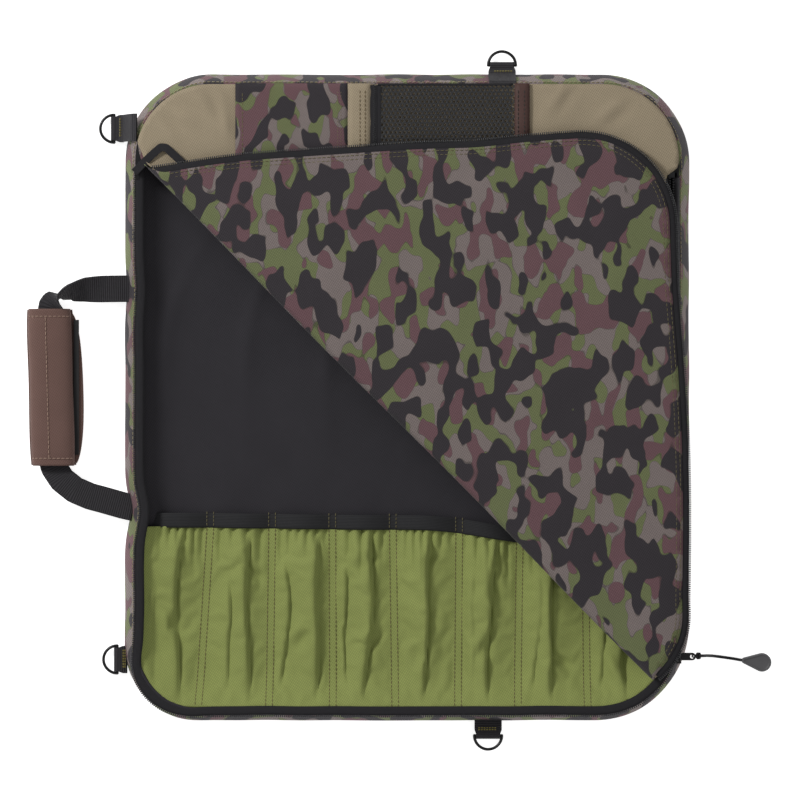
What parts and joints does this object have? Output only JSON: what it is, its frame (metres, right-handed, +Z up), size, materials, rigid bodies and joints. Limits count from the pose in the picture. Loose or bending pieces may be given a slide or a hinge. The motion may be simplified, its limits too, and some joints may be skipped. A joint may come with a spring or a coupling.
{
  "type": "drum stick bag",
  "caption": "Flat fabric zip case for drum sticks, with a folded-open padded cover, gathered stick pockets, a wrapped webbing handle and strap rings.",
  "frame": {"origin": "centre of the back panel's underside, on the surface that the bag lies on", "axes": "+X towards the bag's right edge, +Y towards its top edge, +Z up, out of the open cover"},
  "size_m": [0.5502, 0.5202, 0.0365],
  "materials": {
    "camo_fabric": "printed twill, matt",
    "camo_lining": "printed twill, matt",
    "khaki_fabric": "plain twill, matt",
    "green_fabric": "plain twill, gathered",
    "black_lining": "plain twill, matt",
    "foam": "soft padding foam",
    "black_elastic": "ribbed elastic",
    "zip_tape": "woven tape",
    "zip_teeth": "moulded coil",
    "mesh": "knitted mesh",
    "brown_trim": "grained, matt",
    "webbing": "ribbed webbing",
    "ring_wire": "black, satin",
    "slider_metal": "black, satin",
    "pull_cord": "braided cord",
    "pull_rubber": "moulded, matt",
    "grip_fabric": "plain twill, padded",
    "hook_loop": "hook and loop"
  },
  "bodies": {
    "bag": {"back_panel": "camo_fabric", "back_foam": "foam", "back_lining": "black_lining", "gusset": "camo_fabric", "stick_pocket_panel": "green_fabric", "pocket_elastic_band": "black_elastic", "cover_outer": "khaki_fabric", "cover_foam": "foam", "cover_lining": "camo_lining", "cover_seam_tape": "zip_tape", "base_zip_tape": "zip_tape", "base_zip_teeth": "zip_teeth", "cover_zip_tape": "zip_tape", "side_zip_chain": "zip_teeth", "zip_end_loop": "zip_tape", "zip_stops": "slider_metal", "patch_pocket": "camo_fabric", "placket_strip": "khaki_fabric", "mesh_pocket": "mesh", "mesh_zip_tape": "zip_tape", "mesh_zip_chain": "zip_teeth", "pocket_trim": "brown_trim", "ring_tab_top": "webbing", "ring_tab_bottom": "webbing", "ring_tab_upper": "webbing", "ring_tab_lower": "webbing", "handle_anchors": "webbing"},
    "flap": {"flap_outer": "khaki_fabric", "flap_foam": "foam", "flap_lining": "camo_lining", "flap_zip_tape": "zip_tape", "flap_zip_teeth": "zip_teeth"},
    "slider": {"main_slider": "slider_metal"},
    "pull": {"pull_tab": "slider_metal", "pull_cord": "pull_cord", "pull_knot": "pull_cord", "pull_drop": "pull_rubber"},
    "pocket_slider": {"mesh_slider": "slider_metal", "mesh_pull_tab": "slider_metal"},
    "ring_top": {"ring_top": "ring_wire"},
    "ring_bottom": {"ring_bottom": "ring_wire"},
    "ring_upper": {"ring_upper": "ring_wire"},
    "ring_lower": {"ring_lower": "ring_wire"},
    "handle": {"handle_strap": "webbing", "grip_core": "foam", "grip_back": "grip_fabric", "grip_hook_strip": "hook_loop"},
    "grip_cover": {"grip_flap": "grip_fabric"}
  },
  "joints": [
    {"name": "cover_fold", "type": "hinge", "parent": "bag", "child": "flap", "pos_m": [-0.01051, -0.0107, 0.03], "axis": [0.7133, -0.7009, 0], "range_deg": [0, 180]},
    {"name": "zip_travel", "type": "slide", "parent": "bag", "child": "slider", "axis": [0, 1, 0], "range_m": [0, 0.33]},
    {"name": "pull_swing", "type": "hinge", "parent": "slider", "child": "pull", "pos_m": [0.2009, -0.191, 0.0275], "axis": [0, -1, 0], "range_deg": [0, 80]},
    {"name": "pocket_zip_travel", "type": "slide", "parent": "bag", "child": "pocket_slider", "axis": [0, 1, 0], "range_m": [-0.012, 0.15]},
    {"name": "ring_top_swing", "type": "hinge", "parent": "bag", "child": "ring_top", "pos_m": [0.0705, 0.2466, 0.0034], "axis": [1, 0, 0], "range_deg": [0, 120]},
    {"name": "ring_bottom_swing", "type": "hinge", "parent": "bag", "child": "ring_bottom", "pos_m": [0.0602, -0.251, 0.0034], "axis": [-1, 0, 0], "range_deg": [0, 120]},
    {"name": "ring_upper_swing", "type": "hinge", "parent": "bag", "child": "ring_upper", "pos_m": [-0.2174, 0.1995, 0.0034], "axis": [0, 1, 0], "range_deg": [0, 120]},
    {"name": "ring_lower_swing", "type": "hinge", "parent": "bag", "child": "ring_lower", "pos_m": [-0.2151, -0.1945, 0.0034], "axis": [0, 1, 0], "range_deg": [0, 120]},
    {"name": "handle_swing", "type": "hinge", "parent": "bag", "child": "handle", "pos_m": [-0.2098, 0, 0.0084], "axis": [0, 1, 0], "range_deg": [0, 70]},
    {"name": "grip_open", "type": "hinge", "parent": "handle", "child": "grip_cover", "pos_m": [-0.2802, 0.0075, 0.00935], "axis": [0, -1, 0], "range_deg": [0, 150]}
  ]
}
